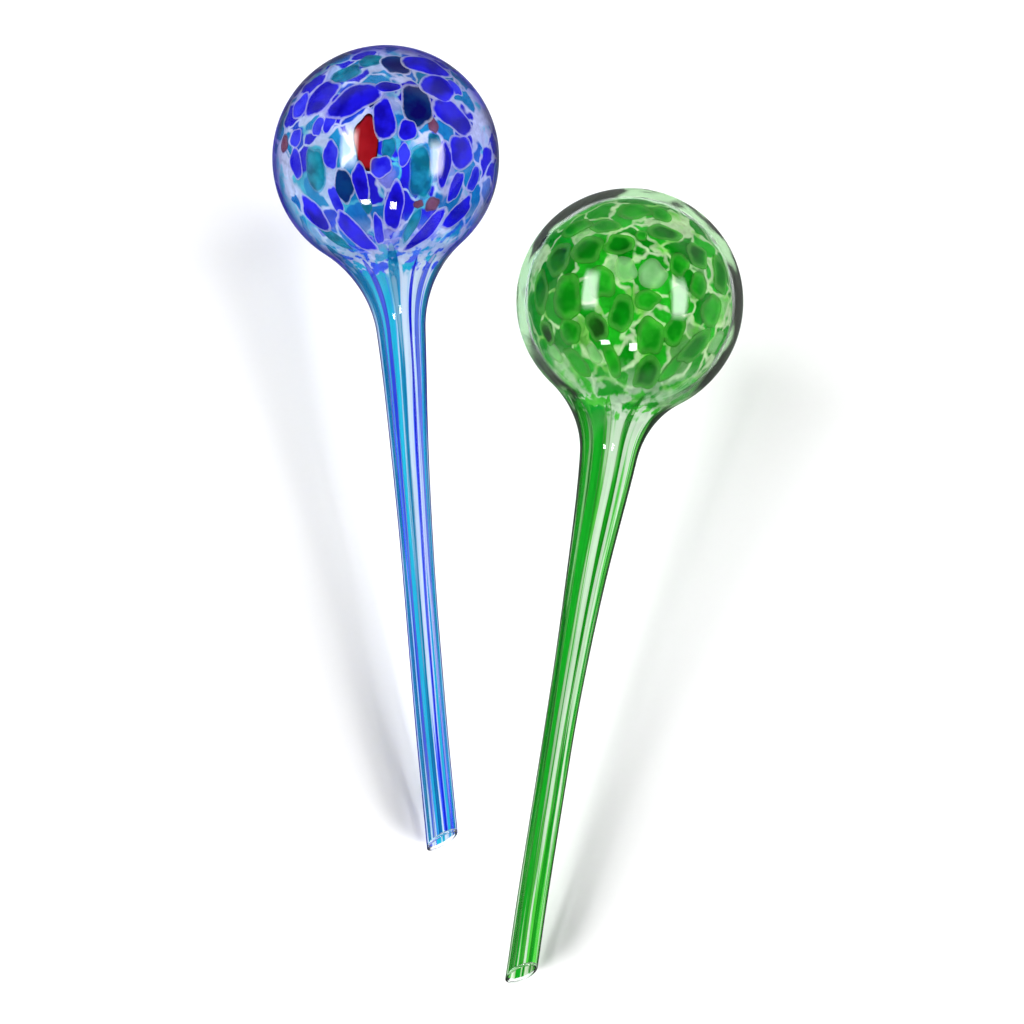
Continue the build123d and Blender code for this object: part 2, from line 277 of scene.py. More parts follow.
@dataclass(frozen=True)
class Globe:
    """One globe's sizes in millimetres and degrees, and where it lies.

    Attributes:
        colourway: Which of the two it is.
        outside: The outside of its glass.
        stem_reach: The reach of the mouth's middle.
        side_slant: How the mouth is cut across from left to right.
        front_slant: How the mouth is cut from front to back.
        cavity_depth: How thick the clear glass looks on the ball.
        stem_cavity_depth: How thick the clear glass looks on the stem.
        sway: The stem's drift to the right, as pairs of reach and drift.
        seed: What this globe's chance details start from.
    """

    colourway: Colourway
    outside: Outline
    stem_reach: float
    side_slant: float
    front_slant: float
    cavity_depth: float
    stem_cavity_depth: float
    sway: tuple[tuple[float, float], ...]
    seed: int

    @property
    def name(self) -> str:
        """The word that starts the names of this globe's nodes and pieces."""
        return self.colourway.value

    @property
    def body(self) -> str:
        """The body that this globe's pieces ride on."""
        return f"{self.name}_globe"

    @cached_property
    def axes(self) -> np.ndarray:
        """The upright globe's X, Y and Z axes as they lie, one in each row."""
        mounts = {mount["name"]: mount for mount in frame["record"]["mounts"]}
        up = -np.array(mounts[f"{self.name}_stem"]["axis"])
        right = np.array([up[1], -up[0], 0]) / np.hypot(up[0], up[1])
        return np.stack([right, np.cross(up, right), up])

    @cached_property
    def centre(self) -> np.ndarray:
        """The ball's centre, from its box: the ball reaches furthest left, down and away from the mouth."""
        low, high = (np.array(corner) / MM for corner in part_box(f"{self.name}_ball_casing"))
        return np.array([low[0], high[1], low[2]]) + self.outside.ball * np.array([1, -1, 1])

    @cached_property
    def drift(self) -> tuple[np.ndarray, np.ndarray]:
        """The stem's drift to the right at even reaches, its corners rounded by a bell-shaped mean 12 mm wide."""
        reach, drift = np.array(self.sway).T
        fine = np.linspace(reach[0], reach[-1], 400)
        near = np.exp(-(((fine[:, None] - fine) / 12.0) ** 2))
        return fine, near @ np.interp(fine, reach, drift) / near.sum(axis=1)

    def laid(self, upright: np.ndarray) -> np.ndarray:
        """Upright millimetres as metres in the pair: drifted with the stem, turned, and moved to its place."""
        drifted = upright.copy()
        drifted[:, 0] += np.interp(-upright[:, 2], *self.drift)
        return (drifted @ self.axes + self.centre) * MM

    def upright(self, laid: np.ndarray) -> np.ndarray:
        """Metres in the pair as upright millimetres."""
        return (laid / MM - self.centre) @ self.axes.T

    def mouth(self, x: np.ndarray, y: np.ndarray) -> np.ndarray:
        """The slanted cut's reach at these places across the stem: a plane, shorter to the right and front."""
        side, front = (np.tan(np.radians(slant)) for slant in (self.side_slant, self.front_slant))
        return self.stem_reach - side * x + front * y

    def skin(self, outline: Outline, angle: np.ndarray, reach: np.ndarray, gap: float = 0.0) -> np.ndarray:
        """Points on a skin, whose last stretch is drawn out or in to end a gap short of the slanted cut.

        The point at angle a and reach t is (r cos a, r sin a, -t) with the outline's radius r at t. Past
        185 mm, t grows by a share of what the cut's reach at that point differs from the stem's.

        Args:
            outline: The skin's outline.
            angle: Each point's angle round the axis from the right.
            reach: Each point's reach.
            gap: How far short of the cut the skin ends.

        Returns:
            Points with the shape of angle and reach, broadcast together, by 3.
        """
        angle, reach = np.broadcast_arrays(angle, reach)
        radius = outline.radius(reach)
        x, y = radius * np.cos(angle), radius * np.sin(angle)
        share = np.clip((reach - 185) / (self.stem_reach - 185), 0, 1)
        ends = self.mouth(x, y) - self.stem_reach - gap
        return np.stack([x, y, -(reach + share * ends)], axis=-1)

    def on_skin(self, outline: Outline, way: np.ndarray) -> np.ndarray:
        """The points where these unit directions from the ball's centre meet a skin."""
        off_axis = np.arccos(np.clip(-way[..., 2], -1, 1))
        return way * outline.from_centre(off_axis)[..., None]

    def flow(self, upright: np.ndarray) -> np.ndarray:
        """Coordinates for patterns that were drawn out with the glass, in millimetres.

        On the ball they are the point itself. Below it, the distance from the axis stays at 15 mm or more
        and a step down counts for less and less, down to a thirtieth, so a round spot there is a long streak.

        Args:
            upright: Points, by 3.

        Returns:
            Coordinates of the same shape.
        """
        reach = -upright[..., 2]
        across = np.hypot(upright[..., 0], upright[..., 1])
        wide = np.maximum(across, 15 * np.clip((reach - 10) / 30, 0, 1))
        table = np.linspace(-60, 280, 700)
        pace = 1 - 0.965 * np.clip((table - 2) / 34, 0, 1)
        down = np.concatenate([[0], np.cumsum((pace[1:] + pace[:-1]) / 2 * np.diff(table))]) - 60
        share = wide / np.maximum(across, 1e-6)
        return np.stack(
            [upright[..., 0] * share, upright[..., 1] * share, -np.interp(reach, table, down)], axis=-1
        )

    def ripple(self, angle: np.ndarray, reach: np.ndarray, depth: float) -> np.ndarray:
        """How far hand-blown glass dips below its outline: a mean of five slow waves with chance turns.

        Args:
            angle: Each point's angle round the axis.
            reach: Each point's reach.
            depth: The deepest dip, in millimetres.

        Returns:
            Depths from 0 to depth.
        """
        chance = np.random.default_rng(self.seed)
        waves = np.zeros(np.broadcast(angle, reach).shape)
        for _ in range(5):
            round_axis, start = chance.integers(1, 5), chance.uniform(0, TURN)
            length = chance.uniform(22, 60)
            waves = waves + np.sin(round_axis * angle + TURN * reach / length + start)
        return depth * (0.5 + waves / 10)


def loose_parts(node: Object) -> list[np.ndarray]:
    """The points of each separate solid in a CAD node's mesh, in metres.

    Triangles that share a point, to a micrometre, belong together: every point takes the lowest number among
    its neighbours until nothing changes.

    Args:
        node: The node's object.

    Returns:
        One array of points for each solid.
    """
    mesh = node.data
    points = np.zeros(len(mesh.vertices) * 3)
    mesh.vertices.foreach_get("co", points)
    corners = np.zeros(len(mesh.loops), dtype=int)
    mesh.loops.foreach_get("vertex_index", corners)
    points = points.reshape(-1, 3)
    unique, number = np.unique(np.round(points, 6), axis=0, return_inverse=True)
    triangles = number.reshape(-1)[corners].reshape(-1, 3)
    label = np.arange(len(unique))
    while True:
        lowest = label[triangles].min(axis=1)
        new = label.copy()
        for side in range(3):
            np.minimum.at(new, triangles[:, side], lowest)
        new = new[new]
        if np.array_equal(new, label):
            return [unique[label == kind] for kind in np.unique(label)]
        label = new


def finished(globe: Globe, name: str, surface: Surface, material: Material, nodes: list[str]) -> Object:
    """Makes a piece from its surface, dresses it, links it to the scene and hangs it on its globe's body.

    Args:
        globe: The globe that it is part of.
        name: The piece's name without the globe's.
        surface: Its closed surfaces, upright.
        material: Its finish.
        nodes: The CAD nodes that it stands for, without the globe's name.

    Returns:
        The piece's object.
    """
    mesh = bpy.data.meshes.new(f"{globe.name}_{name}")
    upright = np.concatenate(surface.points)
    faces = np.concatenate(surface.quads).tolist() + np.concatenate(surface.triangles).tolist()
    mesh.from_pydata(globe.laid(upright).tolist(), [], faces)
    mesh.polygons.foreach_set("use_smooth", np.ones(len(mesh.polygons), dtype=bool))
    notes = {key: np.concatenate(values) for key, values in surface.notes.items()}
    notes["flow"] = globe.flow(upright)
    notes["drawn"] = np.clip((-upright[:, 2:] - 15) / 20, 0, 1)
    for key, values in notes.items():
        vector = values.shape[1] == 3
        made = mesh.attributes.new(key, "FLOAT_VECTOR" if vector else "FLOAT", "POINT")
        made.data.foreach_set("vector" if vector else "value", values.astype(np.float32).reshape(-1))
    mesh.materials.append(material)
    mesh.update()
    piece = bpy.data.objects.new(f"{globe.name}_{name}_look", mesh)
    bpy.context.scene.collection.objects.link(piece)
    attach(piece, globe.body)
    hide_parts(*[f"{globe.name}_{node}" for node in nodes])
    log.info("%s: %d points, %d faces", piece.name, len(mesh.vertices), len(mesh.polygons))
    return piece


@dataclass(frozen=True)
class Finish:
    """What a piece is made of and how its surface was made.

    Attributes:
        name: The material's name.
    """

    name: str

    def material(self) -> Material:
        """Makes the material from the shader that the finish builds."""
        made = bpy.data.materials.new(self.name)
        made.use_nodes = True
        made.node_tree.nodes.clear()
        add_node(made.node_tree, "ShaderNodeOutputMaterial", {"Surface": self.shader(made.node_tree)})
        return made

    def shader(self, tree: NodeTree) -> NodeSocket:
        """Builds the finish's nodes and returns the shader that the surface shows."""
        raise NotImplementedError

    def flow(self, tree: NodeTree) -> NodeSocket:
        """The coordinates, in millimetres, that patterns drawn out with the glass follow."""
        return add_node(tree, "ShaderNodeAttribute", attribute_name="flow").outputs["Vector"]

    def melted(
        self, tree: NodeTree, colour: NodeSocket, clear: NodeSocket, grain: NodeSocket, behind: float
    ) -> NodeSocket:
        """A thin layer of colour that was melted in between clear layers.

        Part of it scatters light from the front and from behind, and the rest shows what lies behind it in
        its own colour. Its back faces show nothing, so that a closed layer counts once.

        Args:
            tree: The material's nodes.
            colour: The layer's colour.
            clear: How much shows through, from 0 to 1.
            grain: The unevenness that its surface follows, from 0 to 1.
            behind: From 0 to 1, how much of what it scatters is light from behind.

        Returns:
            The layer's shader.
        """
        dent = add_node(tree, "ShaderNodeBump", {"Height": grain, "Strength": 0.3, "Distance": 0.2 * MM})
        rough = add_node(tree, "ShaderNodeMapRange", {"Value": grain, "To Min": 0.15, "To Max": 0.45})
        front = add_node(
            tree, "ShaderNodeBsdfPrincipled",
            {"Base Color": colour, "Roughness": rough.outputs[0], "Specular IOR Level": 0.03,
             "Normal": dent.outputs[0]},
        )
        lit = add_node(tree, "ShaderNodeBsdfTranslucent", {"Color": colour})
        solid = add_node(tree, "ShaderNodeMixShader", {0: behind, 1: front.outputs[0], 2: lit.outputs[0]})
        seen = add_node(tree, "ShaderNodeBsdfTransparent", {"Color": colour})
        both = add_node(tree, "ShaderNodeMixShader", {0: clear, 1: solid.outputs[0], 2: seen.outputs[0]})
        side = add_node(tree, "ShaderNodeNewGeometry")
        gone = add_node(tree, "ShaderNodeBsdfTransparent")
        return add_node(
            tree, "ShaderNodeMixShader", {0: side.outputs["Backfacing"], 1: both.outputs[0], 2: gone.outputs[0]}
        ).outputs[0]


@dataclass(frozen=True)
class ClearGlass(Finish):
    """Clear soda-lime glass, blown and fire polished: bright, with slow ripples, and tinted darker where it is seen
    edge-on. That tint is partly the long way through the glass there and partly painted shade for dark surroundings
    seen in the edge.

    Attributes:
        body: Its colour face on.
        rim: The colour that edge-on glass is tinted towards: partly a long way through the glass, partly painted shade
            for dark surroundings seen in the edge.
        rim_alt: The same at other places round the edge.
        rim_from: How far from face on the rim starts, where 0 is face on and 1 is edge on.
        rim_to: Where it is at its full strength.
        rim_alt_share: From 0 to 1, how little of the edge looks like the first rim colour.
        ball_gap: 1 where the ball's inside mirrors as glass over air does, 0 where it is sealed to the colours.
        ripple_mm: How far apart the ripples are.
    """

    body: str
    rim: str
    rim_alt: str
    rim_from: float
    rim_to: float
    rim_alt_share: float = 0.5
    ball_gap: float = 0.0
    ripple_mm: float = 15.0

    def shader(self, tree: NodeTree) -> NodeSocket:
        """Glass that lets the lamps and scattered light straight through to the colours inside it.

        Where its inside is sealed to the colours, light crosses it as if it weren't there. Towards the edge
        its outside mirrors less and less, as when black cards stand beside glass that is photographed.
        """
        flow = self.flow(tree)
        # Painted shade towards the edge: the closer to edge-on, the more the colour goes to the rim colours, partly
        # for the long path through the glass and partly for dark surroundings seen in the edge.
        patch = add_node(tree, "ShaderNodeTexNoise", {"Vector": flow, "Scale": 1 / 24, "Detail": 2.0})
        patchy = add_node(
            tree, "ShaderNodeMapRange", {"Value": patch.outputs[0], "From Min": 0.57 - 0.2 * self.rim_alt_share,
                                          "From Max": 0.65 - 0.2 * self.rim_alt_share},
            interpolation_type="SMOOTHSTEP",
        )
        edge = add_node(
            tree, "ShaderNodeMix", {0: patchy.outputs[0], 6: linear(self.rim), 7: linear(self.rim_alt)},
            data_type="RGBA",
        )
        facing = add_node(tree, "ShaderNodeLayerWeight", {"Blend": 0.5})
        deep = add_node(
            tree, "ShaderNodeMapRange",
            {"Value": facing.outputs["Facing"], "From Min": self.rim_from, "From Max": self.rim_to},
            interpolation_type="SMOOTHSTEP",
        )
        colour = add_node(
            tree, "ShaderNodeMix", {0: deep.outputs[0], 6: linear(self.body), 7: edge.outputs[2]},
            data_type="RGBA",
        )
        wave = add_node(
            tree, "ShaderNodeTexNoise", {"Vector": flow, "Scale": 1 / self.ripple_mm, "Detail": 1.5}
        )
        drawn = add_node(tree, "ShaderNodeAttribute", attribute_name="drawn").outputs["Fac"]
        uneven = add_node(tree, "ShaderNodeMapRange", {"Value": drawn, "To Min": 0.3, "To Max": 0.0})
        dent = add_node(
            tree, "ShaderNodeBump",
            {"Height": wave.outputs[0], "Strength": uneven.outputs[0], "Distance": 0.6 * MM},
        )
        fine = add_node(tree, "ShaderNodeTexNoise", {"Vector": flow, "Scale": 1 / 3, "Detail": 3.0})
        rough = add_node(
            tree, "ShaderNodeMapRange", {"Value": fine.outputs[0], "To Min": 0.0, "To Max": 0.05}
        )
        inside = add_node(tree, "ShaderNodeAttribute", attribute_name="inside").outputs["Fac"]
        fused = add_node(
            tree, "ShaderNodeMix", {0: inside, 6: linear("#ffffff"), 7: linear("#000000")},
            data_type="RGBA",
        )
        glass = add_node(
            tree, "ShaderNodeBsdfPrincipled",
            {
                "Base Color": colour.outputs[2], "Roughness": rough.outputs[0], "IOR": 1.45,
                "Transmission Weight": 1.0, "Specular Tint": fused.outputs[2], "Normal": dent.outputs[0],
            },
        )
        plain = add_node(
            tree, "ShaderNodeBsdfRefraction",
            {"Color": colour.outputs[2], "Roughness": rough.outputs[0], "IOR": 1.45, "Normal": dent.outputs[0]},
        )
        edges = add_node(
            tree, "ShaderNodeMapRange",
            {"Value": facing.outputs["Facing"], "From Min": 0.1, "From Max": 0.5, "To Max": 0.88},
            interpolation_type="SMOOTHSTEP",
        )
        leaving = add_node(
            tree, "ShaderNodeMapRange",
            {"Value": facing.outputs["Facing"], "From Min": 0.262, "From Max": 0.278, "To Min": 0.9, "To Max": 0.0},
        )
        calm = add_node(
            tree, "ShaderNodeMix", {0: inside, 2: edges.outputs[0], 3: leaving.outputs[0]}, data_type="FLOAT"
        )
        cased = add_node(
            tree, "ShaderNodeMixShader", {0: calm.outputs[0], 1: glass.outputs[0], 2: plain.outputs[0]}
        )
        held = add_node(tree, "ShaderNodeMath", {0: drawn, 1: 1 - self.ball_gap}, operation="MAXIMUM")
        sealed = add_node(tree, "ShaderNodeMath", {0: inside, 1: held.outputs[0]}, operation="MULTIPLY")
        path = add_node(tree, "ShaderNodeLightPath")
        straight = add_node(
            tree, "ShaderNodeMath", {0: path.outputs[Ray.SHADOW.value], 1: path.outputs[Ray.DIFFUSE.value]},
            operation="MAXIMUM",
        )
        gone = add_node(
            tree, "ShaderNodeMath", {0: straight.outputs[0], 1: sealed.outputs[0]}, operation="MAXIMUM"
        )
        through = add_node(tree, "ShaderNodeBsdfTransparent", {"Color": linear("#fbfcff")})
        return add_node(
            tree, "ShaderNodeMixShader", {0: gone.outputs[0], 1: cased.outputs[0], 2: through.outputs[0]}
        ).outputs[0]


@dataclass(frozen=True)
class ColouredGlass(Finish):
    """Crushed coloured glass, melted flat: deep where it is thick, cloudy, with a pale line round its edge.

    Attributes:
        deep: Its deepest colour.
        light: Its lightest colour.
        halo: The colour of the line round its edge.
        clear: How much shows through its middle, from 0 to 1.
        clear_edge: How much shows through its edge.
        cloud_mm: How far apart its clouds are.
        shade: How much of the lamps' straight light it keeps back from what is behind it.
        lines: From 0 to 1, how strong the fine pale lines along it are: partly pale glass drawn out with it, partly
            painted highlight.
        halo_from: How far out the line round its edge starts, where 1 is the edge itself.
    """

    deep: str
    light: str
    halo: str
    clear: float = 0.3
    clear_edge: float = 0.6
    cloud_mm: float = 7.0
    shade: float = 0.0
    lines: float = 0.0
    halo_from: float = 0.9

    def shader(self, tree: NodeTree) -> NodeSocket:
        """The finish, by the rim, tone and flow that the piece's points carry."""
        flow = self.flow(tree)
        rim = add_node(tree, "ShaderNodeAttribute", attribute_name="rim").outputs["Fac"]
        tone = add_node(tree, "ShaderNodeAttribute", attribute_name="tone").outputs["Fac"]
        cloud = add_node(
            tree, "ShaderNodeTexNoise", {"Vector": flow, "Scale": 1 / self.cloud_mm, "Detail": 4.0}
        ).outputs[0]
        cloudy = add_node(
            tree, "ShaderNodeMapRange",
            {"Value": cloud, "From Min": 0.38, "From Max": 0.62, "To Min": -0.1, "To Max": 0.75},
        )
        thin = add_node(
            tree, "ShaderNodeMapRange", {"Value": rim, "From Min": 0.45, "From Max": 1.0, "To Max": 0.4},
            interpolation_type="SMOOTHSTEP",
        )
        paler = add_node(tree, "ShaderNodeMath", {0: thin.outputs[0], 1: cloudy.outputs[0]}, operation="ADD")
        toned = add_node(
            tree, "ShaderNodeMath", {0: tone, 1: 0.3, 2: paler.outputs[0]}, operation="MULTIPLY_ADD",
            use_clamp=True,
        )
        body = add_node(
            tree, "ShaderNodeMix", {0: toned.outputs[0], 6: linear(self.deep), 7: linear(self.light)},
            data_type="RGBA",
        )
        grain = add_node(tree, "ShaderNodeTexNoise", {"Vector": flow, "Scale": 1 / 1.6, "Detail": 3.0}).outputs[0]
        ragged = add_node(tree, "ShaderNodeMath", {0: grain, 1: 0.16, 2: rim}, operation="MULTIPLY_ADD")
        line = add_node(
            tree, "ShaderNodeMapRange", {"Value": ragged.outputs[0], "From Min": self.halo_from, "From Max": 1.04, "To Max": 0.95},
            interpolation_type="SMOOTHSTEP",
        )
        # Fine pale lines along the flow: partly drawn-out pale glass, partly painted highlight along the stem.
        fine = add_node(tree, "ShaderNodeTexNoise", {"Vector": flow, "Scale": 1 / 3.2, "Detail": 2.0})
        lined = add_node(
            tree, "ShaderNodeMapRange",
            {"Value": fine.outputs[0], "From Min": 0.53, "From Max": 0.6, "To Max": self.lines},
            interpolation_type="SMOOTHSTEP",
        )
        paled = add_node(tree, "ShaderNodeMath", {0: line.outputs[0], 1: lined.outputs[0]}, operation="MAXIMUM")
        colour = add_node(
            tree, "ShaderNodeMix", {0: paled.outputs[0], 6: body.outputs[2], 7: linear(self.halo)},
            data_type="RGBA",
        )
        clear = add_node(
            tree, "ShaderNodeMapRange",
            {"Value": rim, "From Min": 0.5, "From Max": 1.0, "To Min": self.clear, "To Max": self.clear_edge},
            interpolation_type="SMOOTHSTEP",
        )
        path = add_node(tree, "ShaderNodeLightPath")
        kept = add_node(
            tree, "ShaderNodeMath", {0: path.outputs[Ray.SHADOW.value], 1: -self.shade, 2: clear.outputs[0]},
            operation="MULTIPLY_ADD", use_clamp=True,
        )
        return self.melted(tree, colour.outputs[2], kept.outputs[0], grain, 0.4)


@dataclass(frozen=True)
class PaleGlass(Finish):
    """The pale glass between the chips: milky on the ball, where small chips lie in cells between its veins,
    and drawn into fine lines along the stem.

    Attributes:
        pale: Its commonest colour.
        wisp: The colour of its wisps.
        cell: The colour of the cells between its veins.
        cell_alt: The colour of other cells.
        few: From 0 to 1, the share of the cells that stay pale.
        cell_mm: How far apart the cells' middles are.
        stem: Its colour on the stem.
        line: The colour of one kind of line on the stem.
        line_alt: The colour of the other kind.
        milk: How much of it is milky on the ball, from 0 to 1.
        stem_milk: The same on the stem.
    """

    pale: str
    wisp: str
    cell: str
    cell_alt: str
    few: float
    cell_mm: float
    stem: str
    line: str
    line_alt: str
    milk: float = 0.55
    stem_milk: float = 0.35

    def shader(self, tree: NodeTree) -> NodeSocket:
        """The finish, on the flow that the piece's points carry."""
        flow = self.flow(tree)
        drawn = add_node(tree, "ShaderNodeAttribute", attribute_name="drawn").outputs["Fac"]
        bend = add_node(tree, "ShaderNodeTexNoise", {"Vector": flow, "Scale": 1 / 8, "Detail": 2.0})
        push = add_node(
            tree, "ShaderNodeVectorMath", {0: bend.outputs["Color"], 1: (0.5, 0.5, 0.5)}, operation="SUBTRACT"
        )
        far = add_node(tree, "ShaderNodeVectorMath", {0: push.outputs[0], "Scale": 8.0}, operation="SCALE")
        bent = add_node(tree, "ShaderNodeVectorMath", {0: flow, 1: far.outputs[0]}, operation="ADD").outputs[0]
        wisp = add_node(tree, "ShaderNodeTexNoise", {"Vector": bent, "Scale": 1 / 10, "Detail": 3.0})
        wispy = add_node(
            tree, "ShaderNodeMapRange", {"Value": wisp.outputs[0], "From Min": 0.5, "From Max": 0.64},
            interpolation_type="SMOOTHSTEP",
        )
        ground = add_node(
            tree, "ShaderNodeMix", {0: wispy.outputs[0], 6: linear(self.pale), 7: linear(self.wisp)},
            data_type="RGBA",
        )
        vein = add_node(
            tree, "ShaderNodeTexVoronoi", {"Vector": bent, "Scale": 1 / self.cell_mm},
            feature="DISTANCE_TO_EDGE",
        )
        inside = add_node(
            tree, "ShaderNodeMapRange", {"Value": vein.outputs[0], "From Min": 0.02, "From Max": 0.1},
            interpolation_type="SMOOTHSTEP",
        )
        each = add_node(tree, "ShaderNodeTexVoronoi", {"Vector": bent, "Scale": 1 / self.cell_mm}, feature="F1")
        chance = add_node(tree, "ShaderNodeSeparateColor", {"Color": each.outputs["Color"]})
        kind = add_node(
            tree, "ShaderNodeMapRange", {"Value": chance.outputs["Red"], "From Min": 0.35, "From Max": 0.65},
        )
        cell = add_node(
            tree, "ShaderNodeMix", {0: kind.outputs[0], 6: linear(self.cell), 7: linear(self.cell_alt)},
            data_type="RGBA",
        )
        filled = add_node(
            tree, "ShaderNodeMapRange",
            {"Value": chance.outputs["Green"], "From Min": self.few - 0.08, "From Max": self.few + 0.08},
        )
        fill = add_node(
            tree, "ShaderNodeMath", {0: inside.outputs[0], 1: filled.outputs[0]}, operation="MULTIPLY"
        )
        ball = add_node(
            tree, "ShaderNodeMix", {0: fill.outputs[0], 6: ground.outputs[2], 7: cell.outputs[2]},
            data_type="RGBA",
        )
        line = add_node(tree, "ShaderNodeTexNoise", {"Vector": flow, "Scale": 1 / 5, "Detail": 3.0})
        lined = add_node(
            tree, "ShaderNodeMapRange", {"Value": line.outputs["Fac"], "From Min": 0.51, "From Max": 0.57},
            interpolation_type="SMOOTHSTEP",
        )
        shifted = add_node(tree, "ShaderNodeVectorMath", {0: flow, 1: (70.0, 30.0, 90.0)}, operation="ADD")
        other = add_node(
            tree, "ShaderNodeTexNoise", {"Vector": shifted.outputs[0], "Scale": 1 / 7, "Detail": 3.0}
        )
        othered = add_node(
            tree, "ShaderNodeMapRange", {"Value": other.outputs["Fac"], "From Min": 0.52, "From Max": 0.58},
            interpolation_type="SMOOTHSTEP",
        )
        first = add_node(
            tree, "ShaderNodeMix", {0: lined.outputs[0], 6: linear(self.stem), 7: linear(self.line)},
            data_type="RGBA",
        )
        lines = add_node(
            tree, "ShaderNodeMix", {0: othered.outputs[0], 6: first.outputs[2], 7: linear(self.line_alt)},
            data_type="RGBA",
        )
        colour = add_node(
            tree, "ShaderNodeMix", {0: drawn, 6: ball.outputs[2], 7: lines.outputs[2]}, data_type="RGBA"
        )
        fine = add_node(tree, "ShaderNodeTexNoise", {"Vector": bent, "Scale": 1 / 2.5, "Detail": 4.0}).outputs[0]
        milk = add_node(
            tree, "ShaderNodeMapRange", {"Value": drawn, "To Min": 1 - self.milk, "To Max": 1 - self.stem_milk}
        )
        cloud = add_node(
            tree, "ShaderNodeMapRange",
            {"Value": fine, "From Min": 0.3, "From Max": 0.7, "To Min": 0.12, "To Max": -0.12},
        )
        clear = add_node(
            tree, "ShaderNodeMath", {0: milk.outputs[0], 1: cloud.outputs[0]}, operation="ADD", use_clamp=True
        )
        return self.melted(tree, colour.outputs[2], clear.outputs[0], fine, 0.2)


@dataclass(frozen=True)
class LiningGlass(Finish):
    """The first bubble of clear glass, blown, around the water: only its sheen shows."""

    def shader(self, tree: NodeTree) -> NodeSocket:
        """A faint gloss over whatever is behind it."""
        wave = add_node(tree, "ShaderNodeTexNoise", {"Vector": self.flow(tree), "Scale": 1 / 10, "Detail": 2.0})
        dent = add_node(
            tree, "ShaderNodeBump", {"Height": wave.outputs[0], "Strength": 0.3, "Distance": 0.5 * MM}
        )
        rough = add_node(
            tree, "ShaderNodeMapRange", {"Value": wave.outputs[0], "To Min": 0.02, "To Max": 0.12}
        )
        gloss = add_node(
            tree, "ShaderNodeBsdfGlossy", {"Roughness": rough.outputs[0], "Normal": dent.outputs[0]}
        )
        fresnel = add_node(tree, "ShaderNodeFresnel", {"IOR": 1.5, "Normal": dent.outputs[0]})
        share = add_node(tree, "ShaderNodeMath", {0: fresnel.outputs[0], 1: 0.15}, operation="MULTIPLY")
        through = add_node(tree, "ShaderNodeBsdfTransparent")
        return add_node(
            tree, "ShaderNodeMixShader", {0: share.outputs[0], 1: through.outputs[0], 2: gloss.outputs[0]}
        ).outputs[0]


@dataclass(frozen=True)
class PaperSweep(Finish):
    """Uncoated white background paper: quite matt, with a faint unevenness from its fibres.

    Attributes:
        white: Its colour.
        fibre: Its colour where the fibres lie thin.
        lift: How much brighter it looks than its lamps make it, to the camera and in mirrors and glass.
    """

    white: str = "#e9e9e9"
    fibre: str = "#e6e6e6"
    lift: float = 0.15

    def shader(self, tree: NodeTree) -> NodeSocket:
        """The paper's finish, on its own place in metres."""
        place = add_node(tree, "ShaderNodeTexCoord").outputs["Object"]
        fibre = add_node(tree, "ShaderNodeTexNoise", {"Vector": place, "Scale": 1 / (2 * MM), "Detail": 3.0})
        colour = add_node(
            tree, "ShaderNodeMix", {0: fibre.outputs[0], 6: linear(self.white), 7: linear(self.fibre)},
            data_type="RGBA",
        )
        path = add_node(tree, "ShaderNodeLightPath")
        glass = add_node(
            tree, "ShaderNodeMath", {0: path.outputs[Ray.GLOSSY.value], 1: path.outputs[Ray.TRANSMISSION.value]},
            operation="MAXIMUM",
        )
        seen = add_node(
            tree, "ShaderNodeMath", {0: path.outputs[Ray.CAMERA.value], 1: glass.outputs[0]}, operation="MAXIMUM"
        )
        lift = add_node(tree, "ShaderNodeMath", {0: seen.outputs[0], 1: self.lift}, operation="MULTIPLY")
        return add_node(
            tree, "ShaderNodeBsdfPrincipled",
            {"Base Color": colour.outputs[2], "Roughness": 0.9, "Specular IOR Level": 0.0,
             "Emission Color": (1, 1, 1, 1), "Emission Strength": lift.outputs[0]},
        ).outputs[0]


